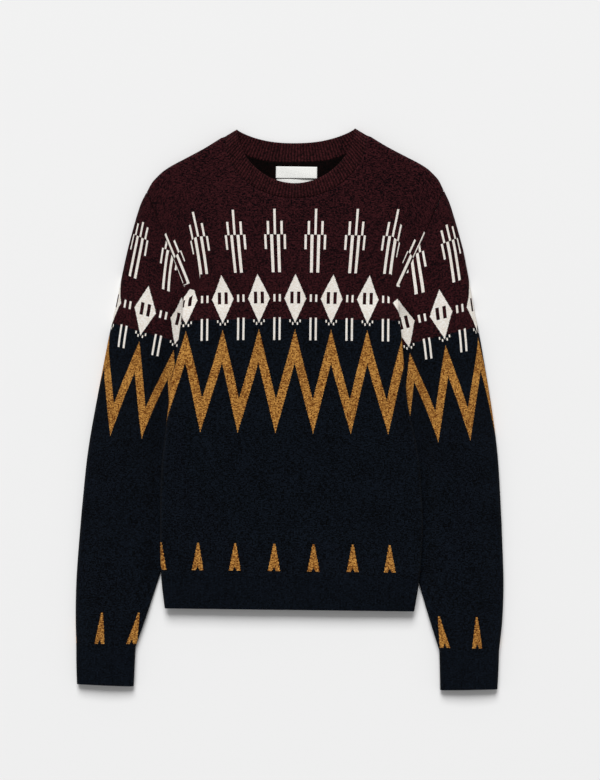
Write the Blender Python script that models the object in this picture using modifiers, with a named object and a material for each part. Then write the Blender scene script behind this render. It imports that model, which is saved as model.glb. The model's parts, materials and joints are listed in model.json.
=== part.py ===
"""A fair isle jumper laid flat on its back, front upwards and neck towards +Y.

The body's sides are tucked under, so the front wraps round each side fold to a side
seam on the underside, and the sleeves lie beside the body and partly under it.
Every wall is an open sheet of knitted cloth given its thickness by Solidify.
Sizes are in millimetres; the origin is the middle of the footprint, on the surface.
"""

import math
from collections import namedtuple

import bmesh
import bpy
from mathutils import Vector

MM = 0.001

# Cloth and how it lies
CLOTH = 2.4  # thickness of the knitted wall
HALF = CLOTH / 2
SEAM_GAP = 0.3  # between two pieces that are linked together
ARMHOLE_GAP = 1.5  # along the armhole, where the rims turn with the fold
SHOULDER_GAP = 1.2  # between the rolled edges of front and back, before their linking
FOLD = 4.6  # radius of a soft fold, to the middle of the wall
LIE = HALF  # height of the middle of a wall that rests on the surface
TOP = LIE + 2 * FOLD  # height of the upper layer next to a fold
PRESSED = LIE + CLOTH + 0.4  # upper layer of a sleeve where the body lies on it
LIFT = PRESSED + HALF + 0.4  # how far a sleeve underneath lifts the body
BODY_CROWN = 5.0  # how much the middle of the body stands over its sides
SLEEVE_CROWN = 3.0

# Landmarks, from the middle of the jumper
HEM_Y = -289.0
HEM_RIB_TOP = -241.5
SIDE_SEAM_X = 98.0  # where the tucked sides of the front meet the back
UNDERARM = Vector((98.0, 92.0))
FOLD_FOOT = Vector((151.0, 125.0))  # the side fold is whole below here
FOLD_HEAD = Vector((153.5, 153.0))  # the side fold starts here
ARMHOLE = Vector((151.6, 167.0))  # the seam leaves the top of the garment here
SHOULDER_TIP = Vector((213.0, 309.0))
NECK_POINT = Vector((104.0, 388.5))
COLLAR_PEAK = Vector((86.5, 399.0))
FRONT_NECK_SEAM = 299.0
FRONT_NECK_EDGE = 320.0
BACK_NECK_SEAM = 351.6
BACK_NECK_EDGE = 379.0

# The visible side of the body, where the front folds under
BodyRow = namedtuple("BodyRow", "y fold_x")
BODY = [
    BodyRow(-289.0, 177.6),
    BodyRow(-243.0, 184.3),
    BodyRow(-184.0, 188.2),
    BodyRow(-156.0, 188.2),
    BodyRow(-116.0, 187.0),
    BodyRow(-82.0, 185.0),
    BodyRow(-39.0, 179.2),
    BodyRow(3.0, 171.8),
    BodyRow(35.0, 168.5),
    BodyRow(62.0, 164.2),
    BodyRow(94.0, 160.5),
    BodyRow(125.0, 157.0),
    BodyRow(155.0, 153.5),
    BodyRow(167.0, 151.6),
]

# The top edge, from the neck point to the tip of the shoulder
ShoulderRow = namedtuple("ShoulderRow", "x y")
SHOULDER = [
    ShoulderRow(104.0, 388.5),
    ShoulderRow(129.0, 373.0),
    ShoulderRow(160.5, 356.0),
    ShoulderRow(176.6, 347.5),
    ShoulderRow(189.7, 339.0),
    ShoulderRow(199.3, 330.0),
    ShoulderRow(206.0, 322.0),
    ShoulderRow(213.0, 309.0),
]

# A sleeve's two edges, station by station from the armhole to the cuff
Station = namedtuple("Station", "outer_x outer_y inner_x inner_y")
SLEEVE = [
    Station(213.0, 309.0, 98.0, 92.0),
    Station(223.0, 285.0, 100.5, 82.0),
    Station(238.5, 227.0, 108.0, 56.0),
    Station(255.5, 142.0, 121.0, 2.0),
    Station(267.5, 84.0, 132.0, -42.0),
    Station(287.0, -30.0, 153.0, -122.0),
    Station(299.0, -144.0, 171.0, -192.0),
    Station(305.0, -230.0, 187.0, -248.0),
    Station(306.0, -292.0, 203.0, -300.0),
    Station(303.4, -345.0, 218.0, -345.0),
]
CUFF = [
    Station(303.4, -345.8, 218.0, -345.8),
    Station(303.0, -370.0, 219.0, -370.0),
    Station(301.8, -399.6, 220.0, -398.4),
]

BURGUNDY = (0.052, 0.014, 0.020, 1.0)
NAVY = (0.010, 0.016, 0.030, 1.0)
LABEL_WHITE = (0.80, 0.80, 0.77, 1.0)


def smoothstep(value):
    t = min(1.0, max(0.0, value))
    return t * t * (3 - 2 * t)


def curve_at(rows, key, column, value):
    """Smooth value of one column of a table at a place in its key column."""
    keys = [getattr(row, key) for row in rows]
    values = [getattr(row, column) for row in rows]
    if keys[0] > keys[-1]:
        keys.reverse()
        values.reverse()
    value = min(keys[-1], max(keys[0], value))
    last = len(keys) - 2
    i = max(0, min(last, sum(k <= value for k in keys) - 1))

    def slope(n):
        before, after = max(0, n - 1), min(last + 1, n + 1)
        return (values[after] - values[before]) / (keys[after] - keys[before])

    span = keys[i + 1] - keys[i]
    t = (value - keys[i]) / span
    start = (1 + 2 * t) * (1 - t) ** 2 * values[i]
    start += t * (1 - t) ** 2 * span * slope(i)
    end = t * t * (3 - 2 * t) * values[i + 1]
    end += t * t * (t - 1) * span * slope(i + 1)
    return start + end


def along(rows, share):
    """A row between the rows of a table, share going from 0 at the first to 1 at the last."""
    indexed = [
        namedtuple("Indexed", ("place",) + row._fields)(n, *row)
        for n, row in enumerate(rows)
    ]
    place = share * (len(rows) - 1)
    return type(rows[0])(
        *(curve_at(indexed, "place", column, place) for column in rows[0]._fields)
    )


def fold_x(y):
    """Half width of the body where its side folds under."""
    return curve_at(BODY, "y", "fold_x", y)


def line_x(low, high, y):
    """x on the straight line between two landmarks."""
    return low.x + (high.x - low.x) * (y - low.y) / (high.y - low.y)


def armhole_x(y):
    """The armhole seam in plan, from the underarm to the tip of the shoulder."""
    for low, high in (
        (UNDERARM, FOLD_FOOT),
        (FOLD_FOOT, FOLD_HEAD),
        (FOLD_HEAD, ARMHOLE),
    ):
        if y < high.y:
            return line_x(low, high, y)
    return line_x(ARMHOLE, SHOULDER_TIP, y)


def sleeve_inner_x(y):
    """x of a sleeve's inner edge below the underarm, and of the armhole above it."""
    if y >= UNDERARM.y:
        return armhole_x(y)
    return curve_at(SLEEVE, "inner_y", "inner_x", y)


def side_x(y):
    """The seam or fold that parts the body from the sleeve, seen from above."""
    return line_x(ARMHOLE, SHOULDER_TIP, y) if y > ARMHOLE.y else fold_x(y)


def tucked(y):
    """0 where the seam lies on top, rising to 1 where the sleeve is under the body."""
    return smoothstep((165.0 - y) / 36.0)


def turn(y):
    """How far round its fold the front goes, in radians."""
    return math.pi * min(1.0, max(0.0, (152.0 - y) / 27.0))


def fold_centre(y):
    """x of the centre of the side fold."""
    return fold_x(y) - (FOLD + HALF) * math.sin(min(turn(y), math.pi / 2))


def lift(x, y):
    """How far a sleeve that lies underneath lifts the body."""
    return LIFT * tucked(y) * smoothstep((abs(x) - sleeve_inner_x(y) + 60.0) / 44.0)


def front_height(x, y):
    """Middle of the front's upper layer."""
    edge = fold_centre(y) if y < FOLD_HEAD.y else side_x(y)
    across = min(1.0, abs(x) / edge) ** 2
    return TOP + lift(edge, y) * across + BODY_CROWN * (1 - across)


def sleeve_height(x, y):
    """Middle of a sleeve's upper layer: pressed under the body, rising beside it."""
    outer = curve_at(SLEEVE, "outer_y", "outer_x", y)
    if y > HEM_RIB_TOP:
        inner, low = side_x(y), TOP + (PRESSED - TOP) * tucked(y)
    else:
        inner = sleeve_inner_x(y)
        low = PRESSED + (TOP - PRESSED) * smoothstep((HEM_RIB_TOP - y) / 90.0)
    clear = 20.0 * tucked(y) * smoothstep((y - HEM_RIB_TOP + 40.0) / 40.0)
    rise = smoothstep((abs(x) - inner - clear) / 30.0)
    share = min(1.0, max(0.0, (abs(x) - inner) / (outer - inner)))
    return low + (TOP + SLEEVE_CROWN * math.sin(math.pi * share) - low) * rise


def shoulder_round(x, y):
    """0 inside, rising to 1 at the shoulder's edge: the share of the fold's radius turned."""
    if x < NECK_POINT.x - FOLD or y < SHOULDER_TIP.y - 2 * FOLD:
        return 0.0
    top = curve_at(SHOULDER, "x", "y", x)
    slope = top - curve_at(SHOULDER, "x", "y", x - 1.0)
    inside = (top - y) / math.hypot(1.0, slope) - HALF
    reach = min(1.0, max(0.0, 1 - inside / FOLD))
    return 1 - math.sqrt(1 - reach * reach)


def shoulder_point(share):
    """A point on the shoulder's edge, moved in by half the cloth."""
    row = along(SHOULDER, share)
    ahead = along(SHOULDER, min(1.0, share + 0.02))
    behind = along(SHOULDER, max(0.0, share - 0.02))
    run = Vector((ahead.x - behind.x, ahead.y - behind.y)).normalized()
    return Vector((row.x, row.y)) + Vector((run.y, -run.x)) * HALF


def neck_curve(front, edge, turned):
    """A point on the neck: front or back half, seam (edge 0) to free edge (1), -90 to 90 degrees."""
    side = math.sin(turned)
    half = NECK_POINT.x + (COLLAR_PEAK.x - NECK_POINT.x) * edge - HALF
    peak = NECK_POINT.y + (COLLAR_PEAK.y - NECK_POINT.y) * edge - HALF
    if front:
        low = FRONT_NECK_SEAM + (FRONT_NECK_EDGE - FRONT_NECK_SEAM) * edge
        bow = abs(math.cos(turned)) ** (1.0 + 0.15 * edge)
        return Vector((half * side, peak - (peak - low) * bow))
    low = BACK_NECK_SEAM + (BACK_NECK_EDGE - BACK_NECK_SEAM) * edge
    bow = abs(side) ** (3.4 - edge)
    return Vector((half * side, low + (peak - low) * bow))


def finish_piece(name, bm, material, thickness=CLOTH):
    """Makes the object of a sheet and gives the sheet its thickness."""
    mesh = bpy.data.meshes.new(name)
    bm.to_mesh(mesh)
    bm.free()
    piece = bpy.data.objects.new(name, mesh)
    piece.data.materials.append(material)
    jumper.objects.link(piece)
    wall = piece.modifiers.new("Wall", "SOLIDIFY")
    wall.thickness = thickness * MM
    wall.offset = 0.0
    wall.use_even_offset = True
    wall.use_quality_normals = True
    return piece


def sheet(columns, rows, place, closed=False):
    """A grid of cloth with each point at place(column, row); closed joins its two sides."""
    bm = bmesh.new()
    bmesh.ops.create_grid(bm, x_segments=columns, y_segments=rows, size=0.5)
    for vert in bm.verts:
        column = round((vert.co.x + 0.5) * columns)
        row = round((vert.co.y + 0.5) * rows)
        vert.co = place(column % columns if closed else column, row) * MM
    if closed:
        bmesh.ops.remove_doubles(bm, verts=bm.verts, dist=1e-5)
    return bm


# Columns of the front on each side of its middle: the top, the fold and the tucked part
TOP_COLUMNS, FOLD_COLUMNS, TUCK_COLUMNS = 8, 3, 5
SIDE_COLUMNS = TOP_COLUMNS + FOLD_COLUMNS + TUCK_COLUMNS
NECK_COLUMNS = 7  # of the side columns, those that end at the neck


def spread(breaks, counts, column):
    """The place of a column where each stretch between breaks has its own count."""
    for low, high, count in zip(breaks, breaks[1:], counts):
        if column <= count:
            return low + (high - low) * column / count
        column -= count
    return breaks[-1]


def front_section(y, column):
    """A point of the front's section at y: over the top, round the fold and back under."""
    centre = fold_centre(y)
    end = SIDE_SEAM_X if y <= UNDERARM.y else armhole_x(y)
    if y >= FOLD_HEAD.y - 1.0:
        length = side_x(y) - SEAM_GAP / 2
    elif y > FOLD_FOOT.y:
        length = centre + FOLD * turn(y)
    else:
        length = centre + FOLD * math.pi + centre - end - SEAM_GAP
    breaks = (
        0.0,
        min(centre, length - 7.0),
        min(centre + FOLD * math.pi, length - 2.4),
        length,
    )
    run = spread(breaks, (TOP_COLUMNS, FOLD_COLUMNS, TUCK_COLUMNS), column)
    if run <= centre or y >= FOLD_HEAD.y - 1.0:
        return Vector((run, y, front_height(run, y)))
    if run <= centre + FOLD * math.pi:
        angle = (run - centre) / FOLD
        x = centre + FOLD * math.sin(angle)
        z = front_height(centre, y) - FOLD * (1 - math.cos(angle))
        return Vector((x, y, z))
    x = centre - (run - centre - FOLD * math.pi)
    return Vector((x, y, LIE + lift(x, y)))


def mirrored(point, side):
    return Vector((point.x * side, point.y, point.z))


# Rows of the front: heights across the body, then shares of the way to the top edge
FRONT_ROWS = (
    [-241.2, -215.0, -185.0, -155.0, -125.0, -95.0, -65.0, -35.0, -5.0]
    + [25.0, 55.0, 80.0, 92.0, 108.0, 125.0, 135.0, 144.0, 152.0, 160.0, 167.0]
)
YOKE_SHARES = [0.16, 0.33, 0.5, 0.67, 0.84]
EDGE_STEPS = [FOLD, 0.3 * FOLD, 0.0]  # the last rows, at these distances from the edge


def yoke_place(foot, head, row, shares):
    """A point between the foot of the yoke and its top edge."""
    if row <= len(shares):
        return foot.lerp(head, shares[row - 1])
    back_by = EDGE_STEPS[row - len(shares) - 1]
    return head + (foot - head).normalized() * back_by


def top_edge(front, column, side_columns, neck_columns):
    """A point on the top edge: the neck seam, then the shoulder out to its tip."""
    if column <= neck_columns:
        share = column / neck_columns
        point = neck_curve(front, 0.0, share * math.pi / 2)
        inward = Vector((0.0, -SEAM_GAP / 2))
        return point + inward * (1 - share)
    return shoulder_point((column - neck_columns) / (side_columns - neck_columns))


def front_place(column, row):
    side = 1 if column >= SIDE_COLUMNS else -1
    column = abs(column - SIDE_COLUMNS)
    if row < len(FRONT_ROWS):
        return mirrored(front_section(FRONT_ROWS[row], column), side)
    foot = front_section(FRONT_ROWS[-1], column).xy
    head = top_edge(True, column, SIDE_COLUMNS, NECK_COLUMNS)
    if column == SIDE_COLUMNS:
        head = head - Vector((SEAM_GAP / 2, 0.0))
    flat = yoke_place(foot, head, row - len(FRONT_ROWS) + 1, YOKE_SHARES)
    turned = shoulder_round(flat.x, flat.y)
    middle = LIE + FOLD + SHOULDER_GAP / 2
    z = front_height(flat.x, flat.y)
    z += (middle - z) * turned
    return mirrored(Vector((flat.x, flat.y, z)), side)


def make_front(material):
    rows = len(FRONT_ROWS) - 1 + len(YOKE_SHARES) + len(EDGE_STEPS)
    return finish_piece("front", sheet(2 * SIDE_COLUMNS, rows, front_place), material)


def make_hem_rib_front(material):
    heights = [HEM_Y, -272.0, -257.0, HEM_RIB_TOP]

    def place(column, row):
        side = 1 if column >= SIDE_COLUMNS else -1
        return mirrored(front_section(heights[row], abs(column - SIDE_COLUMNS)), side)

    bm = sheet(2 * SIDE_COLUMNS, len(heights) - 1, place)
    return finish_piece("hem_rib_front", bm, material)


BACK_ROWS = [-241.2, -130.0, -20.0, 92.0, 125.0, 153.0, 167.0]
BACK_COLUMNS = 10
BACK_NECK_COLUMNS = 7
BACK_SHARES = [0.25, 0.5, 0.75]


def back_place(column, row):
    side = 1 if column >= BACK_COLUMNS else -1
    column = abs(column - BACK_COLUMNS)

    def across(y):
        end = SIDE_SEAM_X if y <= UNDERARM.y else armhole_x(y)
        return Vector(((end - SEAM_GAP / 2) * column / BACK_COLUMNS, y))

    if row < len(BACK_ROWS):
        flat, turned = across(BACK_ROWS[row]), 0.0
    else:
        head = top_edge(False, column, BACK_COLUMNS, BACK_NECK_COLUMNS)
        if column == BACK_COLUMNS:
            head = head - Vector((SEAM_GAP / 2, 0.0))
        foot = across(BACK_ROWS[-1])
        flat = yoke_place(foot, head, row - len(BACK_ROWS) + 1, BACK_SHARES)
        turned = shoulder_round(flat.x, flat.y)
    z = LIE + (FOLD - SHOULDER_GAP / 2) * turned
    return mirrored(Vector((flat.x, flat.y, z)), side)


def make_back(material):
    rows = len(BACK_ROWS) - 1 + len(BACK_SHARES) + len(EDGE_STEPS)
    return finish_piece("back", sheet(2 * BACK_COLUMNS, rows, back_place), material)


def make_hem_rib_back(material):
    heights = [HEM_Y, HEM_RIB_TOP]
    width = SIDE_SEAM_X - SEAM_GAP / 2

    def place(column, row):
        return Vector((width * (column / 2 - 1), heights[row], LIE))

    return finish_piece("hem_rib_back", sheet(4, 1, place), material)


# Columns round a sleeve: outer fold, upper layer, inner fold, lower layer
OUTER_CELLS, INNER_CELLS, LOWER_CELLS = 3, 2, 6
UPPER_SHARES = [0.0, 0.15, 0.3, 0.45, 0.6, 0.66, 0.78, 0.89, 1.0]
RING = OUTER_CELLS + len(UPPER_SHARES) - 1 + INNER_CELLS + LOWER_CELLS
SEAM_MARKS = [
    (0.0, SHOULDER_TIP),
    (0.6, ARMHOLE),
    (0.66, FOLD_HEAD),
    (0.78, FOLD_FOOT),
    (1.0, UNDERARM),
]


def seam_point(share):
    """A point of the armhole seam at a share of the way across the sleeve."""
    for (low, start), (high, end) in zip(SEAM_MARKS, SEAM_MARKS[1:]):
        if share <= high:
            return start.lerp(end, (share - low) / (high - low))
    return UNDERARM


def sleeve_flat(station, bend, share):
    """A point across a sleeve in plan; bend of 1 follows the armhole seam, 0 is straight."""
    outer = Vector((station.outer_x, station.outer_y))
    inner = Vector((station.inner_x, station.inner_y))
    straight = outer.lerp(inner, share)
    bow = seam_point(share) - SHOULDER_TIP.lerp(UNDERARM, share)
    return straight + bow * bend


def sleeve_ring(station, bend, column, height):
    """A point of the closed ring round a sleeve at a station."""
    outer = Vector((station.outer_x, station.outer_y))
    inner = Vector((station.inner_x, station.inner_y))
    across = (inner - outer).normalized()
    length = (inner - outer).length
    low_end = height(inner.x, inner.y)
    tight = (low_end - LIE) / 2
    start = (FOLD + HALF) / length
    stop = 1 - (tight + HALF) / length
    if column <= OUTER_CELLS:
        angle = math.pi * (column / OUTER_CELLS - 0.5)
        centre = sleeve_flat(station, bend, start)
        top = height(centre.x, centre.y)
        rise = (top - LIE) / 2
        flat = centre - across * FOLD * math.cos(angle)
        return Vector((flat.x, flat.y, LIE + rise * (1 + math.sin(angle))))
    column -= OUTER_CELLS
    if column < len(UPPER_SHARES):
        share = max(start, min(stop, UPPER_SHARES[column]))
        flat = sleeve_flat(station, bend, share)
        return Vector((flat.x, flat.y, height(flat.x, flat.y)))
    column -= len(UPPER_SHARES) - 1
    if column <= INNER_CELLS:
        angle = math.pi * (0.5 - column / INNER_CELLS)
        centre = sleeve_flat(station, bend, stop)
        rise = (height(centre.x, centre.y) - LIE) / 2
        flat = centre + across * tight * math.cos(angle)
        return Vector((flat.x, flat.y, LIE + rise * (1 + math.sin(angle))))
    column -= INNER_CELLS
    marks = [UPPER_SHARES[n] for n in (8, 7, 6, 5, 4, 2, 0)]
    share = max(start, min(stop, marks[column]))
    flat = sleeve_flat(station, bend, share)
    return Vector((flat.x, flat.y, LIE))


SLEEVE_ROWS = 20


def make_sleeve(name, side, material):
    def place(column, row):
        share = row / SLEEVE_ROWS
        bend = 1 - smoothstep(share / 0.6)
        point = sleeve_ring(along(SLEEVE, share), bend, column, sleeve_height)
        point.x += ARMHOLE_GAP * max(0.0, 1 - 4 * share)
        return mirrored(point, side)

    bm = sheet(RING, SLEEVE_ROWS, place, closed=True)
    return finish_piece(name, bm, material)


def cuff_height(x, y):
    outer = curve_at(CUFF, "outer_y", "outer_x", y)
    inner = curve_at(CUFF, "inner_y", "inner_x", y)
    share = min(1.0, max(0.0, (abs(x) - inner) / (outer - inner)))
    return TOP + SLEEVE_CROWN * math.sin(math.pi * share)


def make_cuff(name, side, material):
    rows = 3

    def place(column, row):
        return mirrored(
            sleeve_ring(along(CUFF, row / rows), 0.0, column, cuff_height), side
        )

    return finish_piece(name, sheet(RING, rows, place, closed=True), material)


def neck_height(front, edge, turned):
    """Height of the neck band: up on the front, down on the back, folded at the peaks."""
    flat = neck_curve(front, 0.0, turned)
    upper = front_height(flat.x, flat.y) + 0.8 * edge
    lower = LIE + 1.6 * edge
    if not front:
        upper = TOP
    middle = LIE + FOLD
    flatness = min(1.0, abs(math.cos(turned)) / 0.2)
    level = upper if front else lower
    return middle + (level - middle) * math.sqrt(flatness)


NECK_HALF_COLUMNS = 2 * NECK_COLUMNS
NECK_BAND_ROWS = 3


def make_neck_rib(material):
    columns = 2 * NECK_HALF_COLUMNS

    def place(column, row):
        front = column < NECK_HALF_COLUMNS
        share = (column % NECK_HALF_COLUMNS) / NECK_HALF_COLUMNS
        turned = math.pi * (share - 0.5)
        if not front:
            turned = -turned
        edge = row / NECK_BAND_ROWS
        flat = neck_curve(front, edge, turned)
        gap = (1 - edge) * abs(math.cos(turned)) * SEAM_GAP
        flat.x -= (HALF + SEAM_GAP) * math.sin(turned) ** 9
        return Vector((flat.x, flat.y + gap, neck_height(front, edge, turned)))

    bm = sheet(columns, NECK_BAND_ROWS, place, closed=True)
    return finish_piece("neck_rib", bm, material)


TUCK_LAYERS = 4.2  # the two hidden layers of the back, pressed together


def make_side_tuck(name, side, material):
    """The hidden layers of the back inside a side fold, as one rounded solid."""
    rows, columns = 10, 5
    top_y = 40.0

    def place(column, row):
        y = HEM_Y + 1.0 + (top_y - HEM_Y) * row / rows
        start, stop = SIDE_SEAM_X + 2.0, fold_centre(y) - 2.0
        x = start + (stop - start) * column / columns
        z = lift(x, y) + LIE + FOLD
        return Vector((x * side, y, z))

    piece = finish_piece(name, sheet(columns, rows, place), material, TUCK_LAYERS)
    rounded = piece.modifiers.new("Rounded", "BEVEL")
    rounded.width = 1.5 * MM
    rounded.segments = 1
    rounded.limit_method = "ANGLE"
    rounded.angle_limit = math.radians(50)
    return piece


Label = namedtuple("Label", "name low_y high_y width height")
LABELS = [
    Label("label_main", 330.0, 346.5, 59.0, 3.75),
    Label("label_care", 306.0, 341.0, 57.0, 2.95),
]
LABEL_CLOTH = 0.5


def make_label(label, material):
    def place(column, row):
        x = label.width * (column / 2 - 0.5)
        y = label.low_y + (label.high_y - label.low_y) * row
        return Vector((x, y, label.height))

    return finish_piece(label.name, sheet(2, 1, place), material, LABEL_CLOTH)


def cloth(name, colour, roughness):
    material = bpy.data.materials.new(name)
    material.use_nodes = True
    shader = material.node_tree.nodes["Principled BSDF"]
    shader.inputs["Base Color"].default_value = colour
    shader.inputs["Roughness"].default_value = roughness
    shader.inputs["Metallic"].default_value = 0.0
    return material


for old in list(bpy.data.objects):
    bpy.data.objects.remove(old)
jumper = bpy.data.collections.new("fair_isle_jumper")
bpy.context.scene.collection.children.link(jumper)

burgundy = cloth("burgundy_wool", BURGUNDY, 0.95)
navy = cloth("navy_wool", NAVY, 0.95)
white = cloth("label_weave", LABEL_WHITE, 0.8)

make_front(burgundy)
make_back(burgundy)
make_hem_rib_front(navy)
make_hem_rib_back(navy)
make_neck_rib(burgundy)
for label in LABELS:
    make_label(label, white)
for side, word in ((1, "left"), (-1, "right")):
    make_sleeve("sleeve_" + word, side, navy)
    make_cuff("cuff_" + word, side, navy)
    make_side_tuck("side_tuck_" + word, side, navy)
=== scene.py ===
"""A fair isle jumper laid flat: the knitted surface, its pattern and its looks.

Everything is in millimetres until a point is written to a mesh. The jumper lies on its
back on the surface, front upwards and neck towards +Y, with its sides tucked under.
"""

import bisect
import json
import math
from collections import namedtuple

import bmesh
import bpy
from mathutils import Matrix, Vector, noise

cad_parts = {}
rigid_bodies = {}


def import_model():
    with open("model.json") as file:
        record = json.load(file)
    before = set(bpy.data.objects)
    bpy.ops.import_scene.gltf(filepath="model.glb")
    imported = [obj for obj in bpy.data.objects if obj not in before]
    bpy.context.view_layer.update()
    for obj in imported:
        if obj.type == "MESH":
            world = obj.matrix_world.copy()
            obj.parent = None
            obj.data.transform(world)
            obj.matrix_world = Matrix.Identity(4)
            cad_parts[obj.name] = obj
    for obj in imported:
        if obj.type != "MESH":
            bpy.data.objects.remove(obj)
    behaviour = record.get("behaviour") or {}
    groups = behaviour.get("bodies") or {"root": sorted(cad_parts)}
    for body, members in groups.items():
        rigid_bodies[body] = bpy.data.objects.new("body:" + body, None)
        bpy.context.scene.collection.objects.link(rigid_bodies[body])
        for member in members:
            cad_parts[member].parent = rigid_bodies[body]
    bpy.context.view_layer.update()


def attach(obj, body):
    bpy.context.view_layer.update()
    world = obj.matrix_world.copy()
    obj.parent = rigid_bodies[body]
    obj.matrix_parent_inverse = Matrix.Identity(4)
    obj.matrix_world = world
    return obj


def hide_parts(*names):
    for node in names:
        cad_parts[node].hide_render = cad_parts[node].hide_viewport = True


MM = 0.001

# Cloth and how it lies
CLOTH = 2.4
HALF = CLOTH / 2
SEAM_GAP = 0.1
HEM_GAP = 0.1
ARMHOLE_GAP = 0.15
SHOULDER_GAP = 1.2
FOLD = 4.6
LIE = HALF
TOP = LIE + 2 * FOLD
PRESSED = LIE + CLOTH + 0.4
LIFT = PRESSED + HALF + 0.4
BODY_CROWN = 5.0
SLEEVE_CROWN = 3.0
FAR = 99.0  # a distance from any seam at which the cloth no longer dips

# Landmarks, from the middle of the jumper
HEM_Y = -289.0
HEM_RIB_TOP = -241.5
BACK_FOOT = -241.2
CUFF_TOP = -345.0
SIDE_SEAM_X = 98.0
UNDERARM = Vector((98.0, 92.0))
FOLD_FOOT = Vector((151.0, 125.0))
FOLD_HEAD = Vector((153.5, 153.0))
ARMHOLE = Vector((151.6, 167.0))
SHOULDER_TIP = Vector((213.0, 309.0))
NECK_POINT = Vector((104.0, 388.5))
COLLAR_PEAK = Vector((86.5, 399.0))
FRONT_NECK_SEAM = 299.0
FRONT_NECK_EDGE = 320.0
BACK_NECK_SEAM = 351.6
BACK_NECK_EDGE = 379.0

BodyRow = namedtuple("BodyRow", "y fold_x sway")
BODY = [
    BodyRow(-289.0, 179.0, -1.0),
    BodyRow(-243.0, 185.0, -0.4),
    BodyRow(-184.0, 188.2, 0.5),
    BodyRow(-156.0, 188.2, 0.3),
    BodyRow(-116.0, 187.0, -1.0),
    BodyRow(-82.0, 185.0, -1.5),
    BodyRow(-39.0, 179.2, -3.3),
    BodyRow(3.0, 171.8, -6.0),
    BodyRow(35.0, 168.5, -6.8),
    BodyRow(62.0, 164.2, -5.0),
    BodyRow(94.0, 160.5, -4.5),
    BodyRow(125.0, 157.0, -4.2),
    BodyRow(155.0, 153.5, -4.2),
    BodyRow(167.0, 151.6, -4.0),
    BodyRow(238.0, 151.6, -2.0),
    BodyRow(309.0, 151.6, 0.0),
]

ShoulderRow = namedtuple("ShoulderRow", "x y")
SHOULDER = [
    ShoulderRow(104.0, 388.5),
    ShoulderRow(129.0, 373.0),
    ShoulderRow(160.5, 356.0),
    ShoulderRow(176.6, 347.5),
    ShoulderRow(189.7, 339.0),
    ShoulderRow(199.3, 330.0),
    ShoulderRow(206.0, 322.0),
    ShoulderRow(213.0, 309.0),
]

Station = namedtuple("Station", "outer_x outer_y inner_x inner_y")
SLEEVE = [
    Station(213.0, 309.0, 98.0, 92.0),
    Station(223.0, 285.0, 100.5, 82.0),
    Station(238.5, 227.0, 108.0, 56.0),
    Station(255.5, 142.0, 121.0, 2.0),
    Station(267.5, 84.0, 132.0, -42.0),
    Station(287.0, -30.0, 153.0, -122.0),
    Station(299.0, -144.0, 171.0, -192.0),
    Station(305.0, -230.0, 187.0, -248.0),
    Station(306.0, -292.0, 203.0, -300.0),
    Station(303.4, -345.0, 218.0, -345.0),
]
CUFF = [
    Station(303.4, -345.1, 218.0, -345.1),
    Station(303.0, -370.0, 219.0, -370.0),
    Station(301.8, -399.6, 220.0, -402.0),
]

# The knitting: stitches in one pattern repeat, the height of a course, the width of a
# repeat where the cloth turns under, and the ribs
REPEAT = 54
COURSE = 0.95
TURNED_REPEAT = 53.0
HEM_RIB = 4.4
NECK_RIB = 4.3

# Where pattern columns run on the front: x of repeats 1.5 and 2.5 from the middle
GaugeRow = namedtuple("GaugeRow", "y x15 x25 middle")
BODY_GAUGE = [
    GaugeRow(390.0, 96.0, 165.0, 0.0),
    GaugeRow(284.0, 89.5, 147.5, 0.4),
    GaugeRow(244.0, 86.5, 139.0, 0.8),
    GaugeRow(190.0, 81.5, 131.0, 1.8),
    GaugeRow(158.0, 78.0, 129.5, 2.0),
    GaugeRow(60.0, 78.0, 130.0, 2.2),
    GaugeRow(-40.0, 81.0, 134.5, 2.8),
    GaugeRow(-215.0, 84.4, 137.2, 4.4),
    GaugeRow(-290.0, 84.4, 137.2, 4.4),
]

# How much lower the courses lie at the sides of the chest, left and right
DROOP = {1: 0.5, -1: 4.5}

# Where they run on a sleeve, and how its courses dip towards the armhole
SleeveGauge = namedtuple("SleeveGauge", "y x05 x15 drop slope")
SLEEVE_GAUGE = [
    SleeveGauge(310.0, 160.0, 208.0, 6.0, 0.40),
    SleeveGauge(263.0, 168.5, 216.6, 7.0, 0.39),
    SleeveGauge(239.0, 172.5, 221.5, 8.8, 0.387),
    SleeveGauge(178.0, 181.5, 232.8, 16.4, 0.347),
    SleeveGauge(139.0, 185.5, 239.0, 18.7, 0.26),
    SleeveGauge(90.0, 195.5, 246.0, 21.7, 0.25),
    SleeveGauge(-50.0, 215.0, 260.0, 10.0, 0.067),
    SleeveGauge(-200.0, 209.0, 263.5, 0.0, 0.0),
    SleeveGauge(-293.0, 213.9, 266.6, 0.0, 0.0),
    SleeveGauge(-345.0, 225.0, 269.5, 0.0, 0.0),
]

# How far the sleeves lie from where they would if the two sides were alike, and how far
# the left one's pattern lies towards the body
DriftRow = namedtuple("DriftRow", "y inner outer_left outer_right knit_left")
DRIFT = [
    DriftRow(-345.0, -3.2, -2.8, -3.0, -2.0),
    DriftRow(-300.0, -3.0, -1.0, -2.0, -2.0),
    DriftRow(-245.0, -2.6, 0.2, -1.5, 0.0),
    DriftRow(-189.0, 0.0, 0.8, -1.1, 2.0),
    DriftRow(-130.0, 0.0, 2.3, -1.4, 4.0),
    DriftRow(-74.0, 0.0, 3.7, -1.6, 6.5),
    DriftRow(0.0, 0.0, 3.8, 0.0, 8.0),
    DriftRow(130.0, 0.0, 3.8, 0.0, 4.0),
    DriftRow(211.0, 0.0, 3.8, 0.0, 1.0),
    DriftRow(310.0, 0.0, 4.2, 1.0, 0.0),
]


def smoothstep(value):
    """0 up to 0 and 1 from 1, with a smooth rise between."""
    t = min(1.0, max(0.0, value))
    return t * t * (3 - 2 * t)


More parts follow.
